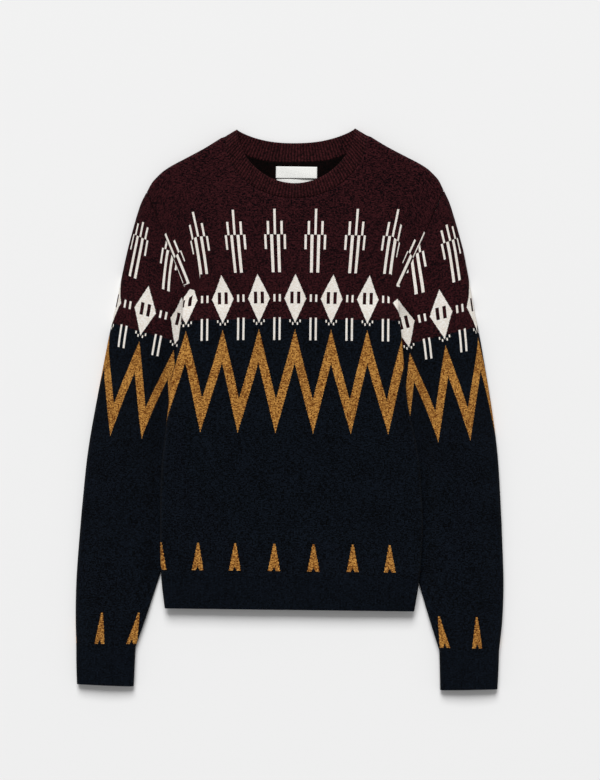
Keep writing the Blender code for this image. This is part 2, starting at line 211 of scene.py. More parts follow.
class Curve:
    """A smooth curve through a table: the value of one column against another."""

    def __init__(self, rows, key, column):
        points = sorted((getattr(row, key), getattr(row, column)) for row in rows)
        self.keys = [point[0] for point in points]
        self.values = [point[1] for point in points]
        last = len(points) - 1
        self.slopes = []
        for n in range(last + 1):
            low, high = max(0, n - 1), min(last, n + 1)
            rise = self.values[high] - self.values[low]
            self.slopes.append(rise / (self.keys[high] - self.keys[low]))

    def __call__(self, place):
        keys = self.keys
        place = min(keys[-1], max(keys[0], place))
        i = min(len(keys) - 2, bisect.bisect_right(keys, place) - 1)
        span = keys[i + 1] - keys[i]
        t = (place - keys[i]) / span
        start = (1 + 2 * t) * (1 - t) ** 2 * self.values[i]
        start += t * (1 - t) ** 2 * span * self.slopes[i]
        end = t * t * (3 - 2 * t) * self.values[i + 1]
        end += t * t * (t - 1) * span * self.slopes[i + 1]
        return start + end


class Course:
    """A table's rows joined smoothly: rows at any share of the way from first to last."""

    def __init__(self, rows):
        self.kind = type(rows[0])
        indexed = namedtuple("Indexed", ("place",) + self.kind._fields)
        numbered = [indexed(n, *row) for n, row in enumerate(rows)]
        self.last = len(rows) - 1
        self.curves = [Curve(numbered, "place", name) for name in self.kind._fields]

    def __call__(self, share):
        return self.kind(*(curve(share * self.last) for curve in self.curves))


body_half = Curve(BODY, "y", "fold_x")
body_sway = Curve(BODY, "y", "sway")
shoulder_y = Curve(SHOULDER, "x", "y")
shoulder_row = Course(SHOULDER)
outer_x = Curve(SLEEVE, "outer_y", "outer_x")
inner_x = Curve(SLEEVE, "inner_y", "inner_x")
cuff_outer_x = Curve(CUFF, "outer_y", "outer_x")
cuff_inner_x = Curve(CUFF, "inner_y", "inner_x")
sleeve_station = Course(SLEEVE)
cuff_station = Course(CUFF)
body_gauge = [Curve(BODY_GAUGE, "y", name) for name in ("x15", "x25", "middle")]
arm_gauge = [Curve(SLEEVE_GAUGE, "y", name) for name in ("x05", "x15", "drop", "slope")]
drift = [Curve(DRIFT, "y", name) for name in ("inner", "outer_left", "outer_right")]
knit_left = Curve(DRIFT, "y", "knit_left")


def fold_x(y, side):
    """Distance from the middle to where a side of the body folds under."""
    return body_half(y) + side * body_sway(y)


def line_x(low, high, y):
    """x on the straight line between two landmarks."""
    return low.x + (high.x - low.x) * (y - low.y) / (high.y - low.y)


def armhole_x(y):
    """The armhole seam in plan, from the underarm to the tip of the shoulder."""
    for low, high in (
        (UNDERARM, FOLD_FOOT),
        (FOLD_FOOT, FOLD_HEAD),
        (FOLD_HEAD, ARMHOLE),
    ):
        if y < high.y:
            return line_x(low, high, y)
    return line_x(ARMHOLE, SHOULDER_TIP, y)


def sleeve_inner_x(y):
    """x of a sleeve's inner edge below the underarm, and of the armhole above it."""
    if y >= UNDERARM.y:
        return armhole_x(y)
    return inner_x(y)


def side_x(y, side):
    """The seam or fold that parts the body from the sleeve, seen from above."""
    if y > ARMHOLE.y:
        return line_x(ARMHOLE, SHOULDER_TIP, y) + side * body_sway(y)
    return fold_x(y, side)


def tucked(y):
    """0 where the seam lies on top, rising to 1 where the sleeve is under the body."""
    return smoothstep((165.0 - y) / 36.0)


def turn(y):
    """How far round its fold the front goes, in radians."""
    return math.pi * min(1.0, max(0.0, (152.0 - y) / 27.0))


def fold_centre(y, side):
    """x of the centre of the side fold."""
    return fold_x(y, side) - (FOLD + HALF) * math.sin(min(turn(y), math.pi / 2))


def lift(x, y):
    """How far a sleeve that lies underneath lifts the body."""
    return LIFT * tucked(y) * smoothstep((abs(x) - sleeve_inner_x(y) + 60.0) / 44.0)


def front_height(x, y, side):
    """Middle of the front's upper layer."""
    edge = fold_centre(y, side) if y < FOLD_HEAD.y else side_x(y, side)
    across = min(1.0, abs(x) / edge) ** 2
    return TOP + lift(edge, y) * across + BODY_CROWN * (1 - across)


def sleeve_height(x, y, side):
    """Middle of a sleeve's upper layer: pressed under the body, rising beside it."""
    outer = outer_x(y)
    if y > HEM_RIB_TOP:
        inner, low = side_x(y, side), TOP + (PRESSED - TOP) * tucked(y)
    else:
        inner = sleeve_inner_x(y)
        low = PRESSED + (TOP - PRESSED) * smoothstep((HEM_RIB_TOP - y) / 90.0)
    clear = 3.0 * tucked(y) * smoothstep((y - HEM_RIB_TOP + 40.0) / 40.0)
    rise = smoothstep((abs(x) - inner - clear) / 26.0)
    share = min(1.0, max(0.0, (abs(x) - inner) / (outer - inner)))
    return low + (TOP + SLEEVE_CROWN * math.sin(math.pi * share) - low) * rise


def shoulder_round(x, y):
    """0 inside, rising to 1 at the shoulder's edge: the share of the fold's radius turned."""
    if x < NECK_POINT.x - FOLD or y < SHOULDER_TIP.y - 2 * FOLD:
        return 0.0
    top = shoulder_y(x)
    slope = top - shoulder_y(x - 1.0)
    inside = (top - y) / math.hypot(1.0, slope) - HALF
    reach = min(1.0, max(0.0, 1 - inside / FOLD))
    return 1 - math.sqrt(1 - reach * reach)


def shoulder_point(share):
    """A point on the shoulder's edge, moved in by half the cloth."""
    row = shoulder_row(share)
    ahead = shoulder_row(min(1.0, share + 0.02))
    behind = shoulder_row(max(0.0, share - 0.02))
    run = Vector((ahead.x - behind.x, ahead.y - behind.y)).normalized()
    return Vector((row.x, row.y)) + Vector((run.y, -run.x)) * HALF


def neck_curve(front, edge, turned):
    """A point on the neck: front or back half, seam (edge 0) to free edge (1)."""
    side = math.sin(turned)
    half = NECK_POINT.x + (COLLAR_PEAK.x - NECK_POINT.x) * edge - HALF
    peak = NECK_POINT.y + (COLLAR_PEAK.y - NECK_POINT.y) * edge - HALF
    if front:
        low = FRONT_NECK_SEAM + (FRONT_NECK_EDGE - FRONT_NECK_SEAM) * edge
        bow = abs(math.cos(turned)) ** (1.0 + 0.15 * edge)
        return Vector((half * side, peak - (peak - low) * bow))
    low = BACK_NECK_SEAM + (BACK_NECK_EDGE - BACK_NECK_SEAM) * edge
    bow = abs(side) ** (3.4 - edge)
    return Vector((half * side, low + (peak - low) * bow))


# ---------------------------------------------------------------- cloth and its grids


def ripple(x, y, size, seed):
    """Soft unevenness of cloth that was smoothed out by hand, about -1 to 1."""
    return noise.noise(Vector((x / size, y / size, seed)))


def sheet(name, columns, rows, place, material, closed=False, thickness=CLOTH, under=None):
    """A piece of cloth on a grid. place(column, row) gives (point, knit coordinates)."""
    bm = bmesh.new()
    bmesh.ops.create_grid(bm, x_segments=columns, y_segments=rows, size=0.5)
    spot = {}
    for vert in bm.verts:
        spot[vert] = (
            round((vert.co.x + 0.5) * columns),
            round((vert.co.y + 0.5) * rows),
        )
    knit = bm.loops.layers.uv.new("knit")
    coords = {}
    for vert, (column, row) in spot.items():
        point, coords[vert] = place(column, row)
        vert.co = point * MM
    for face in bm.faces:
        face.smooth = True
        for loop in face.loops:
            loop[knit].uv = coords[loop.vert]
    if closed:
        bmesh.ops.remove_doubles(bm, verts=bm.verts, dist=1e-5)
    mesh = bpy.data.meshes.new(name)
    bm.to_mesh(mesh)
    bm.free()
    piece = bpy.data.objects.new(name, mesh)
    bpy.context.scene.collection.objects.link(piece)
    mesh.materials.append(material)
    wall = piece.modifiers.new("Wall", "SOLIDIFY")
    wall.thickness = thickness * MM
    wall.offset = 0.0
    wall.use_quality_normals = True
    if under:
        mesh.materials.append(under)
        wall.material_offset = 1
    return piece


def laid(point, side):
    """Turns a point to its own side; the right shoulder was laid a little lower."""
    x = point.x * side
    raised = 1.4 + (0.026 if x > 0 else 0.016) * x
    return Vector((x, point.y + raised * smoothstep((point.y - 240.0) / 90.0), point.z))


def drifted(point, side):
    """Moves a point of a sleeve to where that sleeve lies."""
    inner, outer = sleeve_inner_x(point.y), outer_x(point.y)
    share = min(1.0, max(0.0, (point.x - inner) / max(60.0, outer - inner)))
    start, left, right = (curve(point.y) for curve in drift)
    end = left if side > 0 else right
    return Vector((point.x + side * (start + (end - start) * share), point.y, point.z))


def spread(breaks, counts, column):
    """The place of a column where each stretch between breaks has its own count."""
    for low, high, count in zip(breaks, breaks[1:], counts):
        if column <= count:
            return low + (high - low) * column / count
        column -= count
    return breaks[-1]


# ---------------------------------------------------------------- front, back and hem

SIDE_COUNTS = (66, 10, 20)  # columns over the top, round the fold and in the tuck
SIDE_COLUMNS = sum(SIDE_COUNTS)
NECK_COLUMNS = 48  # of these, the ones that end at the neck
LOWER_ROWS, YOKE_ROWS = 130, 70
HEM_ROWS = 24


def snug(row, rows):
    """Share of the way for a row; the rows next to either end lie close to it."""
    return (row + {1: -0.88, rows - 1: 0.88}.get(row, 0.0)) / rows


def seam_dip(distance, depth=0.5, width=3.0):
    """How far cloth sinks towards the line where it is linked to the next piece."""
    return depth * math.exp(-((distance / width) ** 2))


def body_knit(x, y, run, side):
    """Signed pattern repeats from the middle, and height on the chart, for the body.

    x and run, the place and the length along the cloth, are on the side's own half.
    """
    edge = side_x(y, side)
    inside = max(0.0, edge - x)
    x15, x25, middle = (curve(y) for curve in body_gauge)
    shaped = smoothstep((y - 171.0) / 6.0)
    x35 = (x25 + TURNED_REPEAT - 10.0 * smoothstep((y - 145.0) / 25.0)) * (1 - shaped)
    x35 += (edge - 2.0) * shaped
    place = x - side * middle
    knots = (-x15, x15, x25, x25 + 8.0, max(x25 + 9.0, x35 - 11.0), x35)
    marks = (-1.5, 1.5, 2.5, 2.65, 3.29, 3.5)
    i = min(4, max(0, sum(knot <= place for knot in knots) - 1))
    share = (place - knots[i]) / (knots[i + 1] - knots[i])
    across = marks[i] + (marks[i + 1] - marks[i]) * share
    across += max(0.0, run - x) / TURNED_REPEAT
    fall = DROOP[side] * (x / 138.0) ** 2 * smoothstep((y - 20.0) / 120.0)
    reach = 14.0 + 32.0 * smoothstep((y - 184.0) / 50.0)
    pull = max(0.0, 1 - inside / reach) ** 1.15
    fall += 31.0 * pull * smoothstep((y - 135.0) / 45.0)
    lost = min(1.0, max(0.0, (place - x25 - 7.2) / 1.0))
    fall += 24.0 * lost * smoothstep((y - 168.0) / 4.0) * smoothstep((198.0 - y) / 10.0)
    return side * across, y + fall


def front_section(y, column, side):
    """A point of the front's section at y and how far along the cloth it is."""
    centre = fold_centre(y, side)
    end = SIDE_SEAM_X if y <= UNDERARM.y else armhole_x(y)
    if y >= FOLD_HEAD.y - 1.0:
        length = side_x(y, side) - SEAM_GAP / 2
    elif y > FOLD_FOOT.y:
        length = centre + FOLD * turn(y)
    else:
        length = centre + FOLD * math.pi + centre - end - SEAM_GAP
    breaks = (
        0.0,
        min(centre, length - 7.0),
        min(centre + FOLD * math.pi, length - 2.4),
        length,
    )
    run = spread(breaks, SIDE_COUNTS, column)
    if run <= centre or y >= FOLD_HEAD.y - 1.0:
        return Vector((run, y, front_height(run, y, side))), run
    if run <= centre + FOLD * math.pi:
        angle = (run - centre) / FOLD
        x = centre + FOLD * math.sin(angle)
        z = front_height(centre, y, side) - FOLD * (1 - math.cos(angle))
        return Vector((x, y, z)), run
    x = centre - (run - centre - FOLD * math.pi)
    return Vector((x, y, LIE + lift(x, y))), run


def uneven(point):
    """Lets the upper layer of cloth lie a little unevenly."""
    if point.z < TOP - 1.0:
        return 0.0
    broad = 0.9 * ripple(point.x, point.y, 90.0, 1.7)
    return broad + 0.35 * ripple(point.x, point.y * 0.6, 28.0, 5.2)


def front_place(column, row):
    """The front: rows up to the armhole, then rows that fan out to the neck and shoulder."""
    side = 1 if column >= SIDE_COLUMNS else -1
    column = abs(column - SIDE_COLUMNS)
    if row <= LOWER_ROWS:
        low = HEM_RIB_TOP + HEM_GAP
        y = low + (ARMHOLE.y - low) * snug(row, LOWER_ROWS)
        point, run = front_section(y, column, side)
        coords = body_knit(point.x, y, run, side)
        seam = side_x(y, side) - run if y > FOLD_HEAD.y else FAR
        point.z -= seam_dip(seam)
    else:
        foot = front_section(ARMHOLE.y, column, side)[0].xy
        head = top_edge(True, column, SIDE_COLUMNS, NECK_COLUMNS)
        share = (row - LOWER_ROWS) / YOKE_ROWS
        flat = foot.lerp(head, 1 - (1 - share) ** 1.25)
        turned = shoulder_round(flat.x, flat.y)
        middle = LIE + FOLD + SHOULDER_GAP / 2
        z = front_height(flat.x, flat.y, side)
        z += (middle - z) * turned
        if column <= NECK_COLUMNS:
            z -= seam_dip((head - flat).length, 1.2, 2.5)
        z -= seam_dip(side_x(flat.y, side) - flat.x) * (1 - turned)
        point = Vector((flat.x, flat.y, z))
        coords = body_knit(flat.x, flat.y, flat.x, side)
    point.z += uneven(point) * (1 if row <= LOWER_ROWS else 1 - share ** 3)
    return laid(point, side), coords


def top_edge(front, column, side_columns, neck_columns):
    """A point on the top edge: the neck seam, then the shoulder out to its tip."""
    if column <= neck_columns:
        share = column / neck_columns
        point = neck_curve(front, 0.0, share * math.pi / 2)
        inward = Vector((0.0, -SEAM_GAP / 2))
        return point + inward * (1 - share)
    head = shoulder_point((column - neck_columns) / (side_columns - neck_columns))
    if column == side_columns:
        head = head - Vector((SEAM_GAP / 2, 0.0))
    return head


def hem_front_place(column, row):
    """The front's ribbing, which turns under at the sides as the front does."""
    side = 1 if column >= SIDE_COLUMNS else -1
    column = abs(column - SIDE_COLUMNS)
    y = HEM_Y + (HEM_RIB_TOP - HEM_Y) * snug(row, HEM_ROWS)
    point, run = front_section(y, column, side)
    rib = 0.16 * math.cos(2 * math.pi * run / HEM_RIB)
    point.z += uneven(point) + (rib if point.z > TOP else 0.0)
    if point.z > TOP:
        point.z -= 0.8 * smoothstep((-262 - y) / 25)
    return laid(point, side), (side * run, y - HEM_Y)


BACK_COLUMNS = 60
BACK_NECK_COLUMNS = 42
BACK_LOWER, BACK_UPPER = 60, 60
BACK_HEM_HALF, BACK_HEM_ROWS = 30, 8


def back_place(column, row):
    """The back between its side seams, rising to meet the front at the shoulders."""
    side = 1 if column >= BACK_COLUMNS else -1
    column = abs(column - BACK_COLUMNS)

    def across(y):
        end = SIDE_SEAM_X if y <= UNDERARM.y else armhole_x(y)
        return Vector(((end - SEAM_GAP / 2) * column / BACK_COLUMNS, y))

    if row <= BACK_LOWER:
        flat, turned = across(BACK_FOOT + (ARMHOLE.y - BACK_FOOT) * row / BACK_LOWER), 0.0
    else:
        head = top_edge(False, column, BACK_COLUMNS, BACK_NECK_COLUMNS)
        share = (row - BACK_LOWER) / BACK_UPPER
        flat = across(ARMHOLE.y).lerp(head, 1 - (1 - share) ** 1.25)
        turned = shoulder_round(flat.x, flat.y)
    z = LIE + (FOLD - SHOULDER_GAP / 2) * turned
    coords = body_knit(flat.x, flat.y, flat.x, side)
    return laid(Vector((flat.x, flat.y, z)), side), coords


def hem_back_place(column, row):
    """The back's ribbing between its side seams."""
    x = (SIDE_SEAM_X - SEAM_GAP / 2) * (column / BACK_HEM_HALF - 1)
    y = HEM_Y + (HEM_RIB_TOP - HEM_Y) * row / BACK_HEM_ROWS
    return Vector((x, y, LIE)), (x, y - HEM_Y)


# ---------------------------------------------------------------- sleeves and cuffs

OUTER_CELLS, UPPER_CELLS, INNER_CELLS, LOWER_CELLS = 12, 60, 6, 40
RING = OUTER_CELLS + UPPER_CELLS + INNER_CELLS + LOWER_CELLS
SEAM_MARKS = [
    (0.0, SHOULDER_TIP),
    (0.6, ARMHOLE),
    (0.66, FOLD_HEAD),
    (0.78, FOLD_FOOT),
    (1.0, UNDERARM),
]
SLEEVE_ROWS = 210
CUFF_ROWS = 26


def seam_point(share):
    """A point of the armhole seam at a share of the way across the sleeve."""
    for (low, start), (high, end) in zip(SEAM_MARKS, SEAM_MARKS[1:]):
        if share <= high:
            return start.lerp(end, (share - low) / (high - low))
    return UNDERARM


def sleeve_flat(station, bend, share):
    """A point across a sleeve in plan; bend of 1 follows the armhole seam, 0 is straight."""
    outer = Vector((station.outer_x, station.outer_y))
    inner = Vector((station.inner_x, station.inner_y))
    bow = seam_point(share) - SHOULDER_TIP.lerp(UNDERARM, share)
    return outer.lerp(inner, share) + bow * bend


def sleeve_ring(station, bend, column, height, side):
    """A point of the ring round a sleeve, and how far past the outer edge it is."""
    outer = Vector((station.outer_x, station.outer_y))
    inner = Vector((station.inner_x, station.inner_y))
    across = (inner - outer).normalized()
    length = (inner - outer).length
    tight = (height(inner.x, inner.y, side) - LIE) / 2
    start = (FOLD + HALF) / length
    stop = 1 - (tight + HALF) / length
    if column <= OUTER_CELLS:
        angle = math.pi * (column / OUTER_CELLS - 0.5)
        centre = sleeve_flat(station, bend, start)
        rise = (height(centre.x, centre.y, side) - LIE) / 2
        flat = centre - across * FOLD * math.cos(angle)
        point = Vector((flat.x, flat.y, LIE + rise * (1 + math.sin(angle))))
        return point, FOLD * (math.pi / 2 - angle)
    column -= OUTER_CELLS
    if column <= UPPER_CELLS:
        share = start + (stop - start) * column / UPPER_CELLS
        flat = sleeve_flat(station, bend, share)
        return Vector((flat.x, flat.y, height(flat.x, flat.y, side))), 0.0
    column -= UPPER_CELLS
    if column <= INNER_CELLS:
        angle = math.pi * (0.5 - column / INNER_CELLS)
        centre = sleeve_flat(station, bend, stop)
        rise = (height(centre.x, centre.y, side) - LIE) / 2
        flat = centre + across * tight * math.cos(angle)
        return Vector((flat.x, flat.y, LIE + rise * (1 + math.sin(angle)))), 0.0
    column -= INNER_CELLS
    share = stop + (start - stop) * column / LOWER_CELLS
    flat = sleeve_flat(station, bend, share)
    return Vector((flat.x, flat.y, LIE)), 0.0


def sleeve_knit(point, beyond, side):
    """Pattern repeats across a sleeve and height on the chart."""
    y = point.y
    x = point.x + (knit_left(y) if side > 0 else 0.0)
    x05, x15, drop, slope = (curve(y) for curve in arm_gauge)
    edge = outer_x(y)
    out = max(0.0, x - x15) / max(5.0, edge - x15)
    across = 0.5 + (x - x05) / (x15 - x05) + 0.06 * out ** 2 + beyond / TURNED_REPEAT
    return across, y + drop - slope * (x - 215.0)


def make_sleeve(name, side, material):
    """A sleeve: a flattened tube whose first rows follow the armhole."""
    shares = [snug(row, SLEEVE_ROWS) for row in range(SLEEVE_ROWS + 1)]
    stations = [sleeve_station(share) for share in shares]

    def place(column, row):
        share = shares[row]
        bend = 1 - smoothstep(share / 0.6)
        point, beyond = sleeve_ring(stations[row], bend, column, sleeve_height, side)
        coords = sleeve_knit(point, beyond, side)
        near = smoothstep(1 - abs(point.x - armhole_x(point.y)) / 45.0)
        near *= smoothstep((point.y - FOLD_FOOT.y) / 28.0)
        raised = min(1.0, (point.z - LIE) / (TOP - LIE))
        point.x += side * body_sway(point.y) * near * raised
        point.x += ARMHOLE_GAP * max(0.0, 1 - 4 * share)
        if point.z > LIE + 3.0:
            seam = abs(point.x - side_x(point.y, side))
            seam = seam if point.y > FOLD_HEAD.y else FAR
            fade = smoothstep((point.z - LIE - 3.0) / 4.0)
            point.z -= fade * seam_dip(seam)
            point.z += fade * 0.9 * ripple(point.x * 1.4, point.y, 60.0, 8.0)
        return laid(drifted(point, side), side), coords

    return sheet(name, RING, SLEEVE_ROWS, place, material, closed=True)


def cuff_height(x, y, _side):
    """Middle of a cuff's upper layer, the same on both sides."""
    outer, inner = cuff_outer_x(y), cuff_inner_x(y)
    share = min(1.0, max(0.0, (abs(x) - inner) / (outer - inner)))
    crown = SLEEVE_CROWN - 0.8 * smoothstep((CUFF_TOP - y) / 20.0)
    return TOP + crown * math.sin(math.pi * share)


def make_cuff(name, side, material):
    """A cuff: a flattened ribbed tube that carries the sleeve on."""

    def place(column, row):
        station = cuff_station(snug(row, CUFF_ROWS))
        point, beyond = sleeve_ring(station, 0.0, column, cuff_height, side)
        if point.z > LIE + 4.0:
            point.z += 0.3 * ripple(point.x, point.y, 20.0, 3.0)
        run = point.x + beyond
        return laid(drifted(point, side), side), (run, CUFF_TOP - point.y)

    return sheet(name, RING, CUFF_ROWS, place, material, closed=True)


# ---------------------------------------------------------------- neck band

NECK_HALF = 240
NECK_ROWS = 12


def neck_height(front, edge, turned):
    """Height of the neck band: up on the front, down on the back, folded at the peaks."""
    flat = neck_curve(front, 0.0, turned)
    upper = front_height(flat.x, flat.y, 1) + 0.8 * edge
    lower = LIE + 1.6 * edge
    middle = LIE + FOLD
    flatness = min(1.0, abs(math.cos(turned)) / 0.2)
    level = upper if front else lower
    return middle + (level - middle) * math.sqrt(flatness)


def neck_runs(front):
    """Length of the seam up to each column of a half of the neck band."""
    total, runs = 0.0, [0.0]
    for n in range(NECK_HALF):
        here, there = (math.pi * ((n + k) / NECK_HALF - 0.5) for k in (0, 1))
        total += (neck_curve(front, 0.5, there) - neck_curve(front, 0.5, here)).length
        runs.append(total)
    return runs


def make_neck_rib(material):
    """The neck band: one ribbed ring, round the front and then the back."""
    runs = {True: neck_runs(True), False: neck_runs(False)}
    whole = runs[True][-1] + runs[False][-1]
    ribs = round(whole / NECK_RIB)

    def place(column, row):
        front = column < NECK_HALF
        n = column if front else column - NECK_HALF
        turned = math.pi * (n / NECK_HALF - 0.5)
        run = runs[front][n] + (0.0 if front else runs[True][-1])
        turned = turned if front else -turned
        edge = row / NECK_ROWS
        flat = neck_curve(front, edge, turned)
        gap = (1 - edge) * abs(math.cos(turned)) * SEAM_GAP
        flat.x -= (HALF + SEAM_GAP) * math.sin(turned) ** 9
        rib = 0.32 * math.cos(2 * math.pi * run * ribs / whole)
        rib *= smoothstep(edge / 0.2) * smoothstep((1 - edge) / 0.15)
        z = neck_height(front, edge, turned) + rib
        if front:
            z -= seam_dip(edge * 20.0, 1.2, 2.0) + 0.9 * smoothstep((edge - 0.8) / 0.2)
        point = laid(Vector((flat.x, flat.y + gap, z)), 1)
        return point, (run * ribs / whole, edge)

    return sheet("neck_band", 2 * NECK_HALF, NECK_ROWS, place, material, closed=True)


# ---------------------------------------------------------------- tucks and labels

TUCK_LAYERS = 4.2
TUCK_FOOT, TUCK_TOP = HEM_Y + 1.0, 41.0
TUCK_COLUMNS, TUCK_ROWS = 16, 60


def make_side_tuck(name, side, material):
    """The hidden layers of the back inside a side fold, as one rounded solid."""

    def place(column, row):
        y = TUCK_FOOT + (TUCK_TOP - TUCK_FOOT) * row / TUCK_ROWS
        start, stop = SIDE_SEAM_X + 2.0, fold_centre(y, side) - 2.0
        x = start + (stop - start) * column / TUCK_COLUMNS
        return Vector((x * side, y, lift(x, y) + LIE + FOLD)), (x, y - HEM_Y)

    piece = sheet(name, TUCK_COLUMNS, TUCK_ROWS, place, material, thickness=TUCK_LAYERS)
    rounded = piece.modifiers.new("Rounded", "BEVEL")
    rounded.width = 1.5 * MM
    rounded.segments = 3
    rounded.limit_method = "ANGLE"
    rounded.angle_limit = math.radians(50)
    return piece


Label = namedtuple("Label", "name low_y high_y width height curl")
LABELS = [
    Label("neck_label", 329.6, 346.5, 59.0, 4.6, 0.5),
    Label("care_label", 306.0, 328.9, 57.0, 3.4, 0.3),
]
LABEL_CLOTH = 0.5
LABEL_COLUMNS, LABEL_ROWS = 40, 14


def make_label(label, material):
    """A bare woven label, curling a little."""

    def place(column, row):
        u, v = column / LABEL_COLUMNS - 0.5, row / LABEL_ROWS
        x = label.width * u + 1.5
        y = label.low_y + (label.high_y - label.low_y) * v
        z = label.height + label.curl * math.sin(5 * u + 2 * v) + 0.4 * (1 - v)
        return Vector((x, y, z)), (x, y)

    size = (LABEL_COLUMNS, LABEL_ROWS)
    return sheet(label.name, *size, place, material, thickness=LABEL_CLOTH)


# ---------------------------------------------------------------- materials


class Field:
    """A number at each point of a surface; arithmetic on it adds nodes to the material."""

    def __init__(self, tree, socket):
        self.tree = tree
        self.socket = socket

    def apply(self, operation, *others):
        node = self.tree.nodes.new("ShaderNodeMath")
        node.operation = operation
        for slot, value in zip(node.inputs, (self, *others)):
            if isinstance(value, Field):
                self.tree.links.new(value.socket, slot)
            else:
                slot.default_value = value
        return Field(self.tree, node.outputs[0])

    def __add__(self, other):
        return self.apply("ADD", other)

    def __sub__(self, other):
        return self.apply("SUBTRACT", other)

    def __mul__(self, other):
        return self.apply("MULTIPLY", other)

    def __lt__(self, other):
        return self.apply("LESS_THAN", other)

    def __gt__(self, other):
        return self.apply("GREATER_THAN", other)

    def __abs__(self):
        return self.apply("ABSOLUTE")

    def flipped(self):
        """1 where this is 0, and 0 where it is 1."""
        return self * -1.0 + 1.0

    def within(self, low, high):
        return (self > low) * (self < high)

    def either(self, *others):
        result = self
        for other in others:
            result = result.apply("MAXIMUM", other)
        return result


def new_material(name, sheen, roughness=0.95):
    material = bpy.data.materials.new(name)
    material.use_nodes = True
    shader = material.node_tree.nodes["Principled BSDF"]
    shader.inputs["Roughness"].default_value = roughness
    shader.inputs["Specular IOR Level"].default_value = 0.03
    shader.inputs["Sheen Weight"].default_value = sheen
    shader.inputs["Sheen Roughness"].default_value = 0.55
    return material, shader


def knit_coords(tree):
    """The cloth's own coordinates as two fields."""
    source = tree.nodes.new("ShaderNodeUVMap")
    source.uv_map = "knit"
    split = tree.nodes.new("ShaderNodeSeparateXYZ")
    tree.links.new(source.outputs["UV"], split.inputs[0])
    return Field(tree, split.outputs["X"]), Field(tree, split.outputs["Y"])


def blotch(tree, x, y, scale, detail=2.0, cells=False):
    """Noise over two fields: smooth, or one value for each cell of size 1."""
    both = tree.nodes.new("ShaderNodeCombineXYZ")
    for slot, value in zip(both.inputs, (x, y)):
        tree.links.new(value.socket, slot)
    if cells:
        node = tree.nodes.new("ShaderNodeTexWhiteNoise")
        node.noise_dimensions = "2D"
        tree.links.new(both.outputs[0], node.inputs["Vector"])
        return Field(tree, node.outputs["Value"])
    node = tree.nodes.new("ShaderNodeTexNoise")
    node.noise_dimensions = "2D"
    node.inputs["Scale"].default_value = scale
    node.inputs["Detail"].default_value = detail
    tree.links.new(both.outputs[0], node.inputs["Vector"])
    return Field(tree, node.outputs["Fac"])


def mix(tree, share, low, high):
    """A colour between two colours; each is a tuple or an earlier mix."""
    node = tree.nodes.new("ShaderNodeMix")
    node.data_type = "RGBA"
    tree.links.new(share.socket, node.inputs["Factor"])
    for slot, colour in ((node.inputs[6], low), (node.inputs[7], high)):
        if isinstance(colour, tuple):
            slot.default_value = (*colour, 1.0)
        else:
            tree.links.new(colour, slot)
    return node.outputs[2]


# Each yarn is spun from a darker and a lighter fibre
Yarn = namedtuple("Yarn", "dark light")
BURGUNDY = Yarn((0.0015, 0.0006, 0.0015), (0.0500, 0.0102, 0.0125))
NAVY = Yarn((0.0001, 0.0003, 0.0006), (0.0056, 0.0092, 0.0160))
MUSTARD = Yarn((0.1300, 0.0340, 0.0045), (0.6900, 0.3400, 0.0770))
CREAM = Yarn((0.8400, 0.7600, 0.6700), (0.9700, 0.9500, 0.9100))
RIBBING = Yarn((0.0040, 0.0016, 0.0022), (0.0840, 0.0170, 0.0200))
# Painted shade: the inside of the back where it shows through the neck, near-black to stand
# in for the shadow there
INSIDE_PAINTED_SHADE = Yarn((0.0004, 0.0002, 0.0002), (0.0050, 0.0014, 0.0014))


def bands(stitch, up, stick_tops, tree_rows):
    """The chart: masks for cream, mustard and burgundy, the rest being navy.

    stitch is the distance in stitches from the middle of the nearest diamond, 0 to half
    a repeat; up is the height on the chart.
    """
    gap = stitch * -1.0 + REPEAT / 2  # distance from midway between two diamonds

    def bar(field, centre, low, high):
        return (abs(field - centre) < 1.5) * up.within(low, high)

    middle_top, side_top = stick_tops
    sticks = bar(gap, 0.0, 248.0, middle_top).either(
        bar(gap, 9.0, 248.0, side_top),
        (abs(gap - 4.5) < 2.0) * up.within(194.0, 248.0),
        bar(gap, 13.0, 227.5, 248.0),
    )
    slant = abs(up - 156.5) * -0.466 + 16.2
    eyes = (abs(stitch - 5.0) < 2.5) * up.within(149.0, 166.0)
    diamonds = (stitch - slant < 0.0) * eyes.flipped()
    dashes = bar(gap, 4.0, 152.0, 162.5)
    dots = ((abs(stitch - 7.5) < 1.0) * up.within(122.5, 126.5)).either(
        (abs(stitch - 3.5) < 1.0) * up.within(118.5, 122.5)
    )
    pendants = bar(gap, 4.0, 96.5, 129.0)
    cream = sticks.either(diamonds, dashes, dots, pendants)
    zigzag = up + stitch * 3.73
    peaks = zigzag.within(64.5, 112.5)
    foot, height = tree_rows
    rise = (up - foot) * (1 / height)
    trunk = (gap + rise * 7.2 < 8.4) * rise.within(0.0, 1.0)
    notch = gap * 0.053 + rise < 0.16
    mustard = peaks.either(trunk * notch.flipped())
    return cream, mustard, up > 127.0


def knit_surface(tree, shader, colour, height, distance):
    """Finishes a knitted material: its colour and the relief of its stitches."""
    tree.links.new(colour, shader.inputs["Base Color"])
    bump = tree.nodes.new("ShaderNodeBump")
    bump.inputs["Strength"].default_value = 0.8
    bump.inputs["Distance"].default_value = distance
    tree.links.new(height.socket, bump.inputs["Height"])
    tree.links.new(bump.outputs["Normal"], shader.inputs["Normal"])


def stitches(x, y):
    """Plain knitting over fields counted in stitches and courses.

    Gives the middle of each point's stitch, and the relief of the two slanted legs.
    """
    across = x.apply("FRACT")
    leg = abs(across - 0.5)
    level = y - leg * 0.9
    column = x.apply("FLOOR") + 0.5
    course = level.apply("FLOOR") + 0.5
    strand = abs(leg - 0.25) * 4.0
    bead = abs(level.apply("FRACT") - 0.5) * 2.0
    relief = (strand * strand + bead * bead * 0.5).flipped()
    return column, course, relief


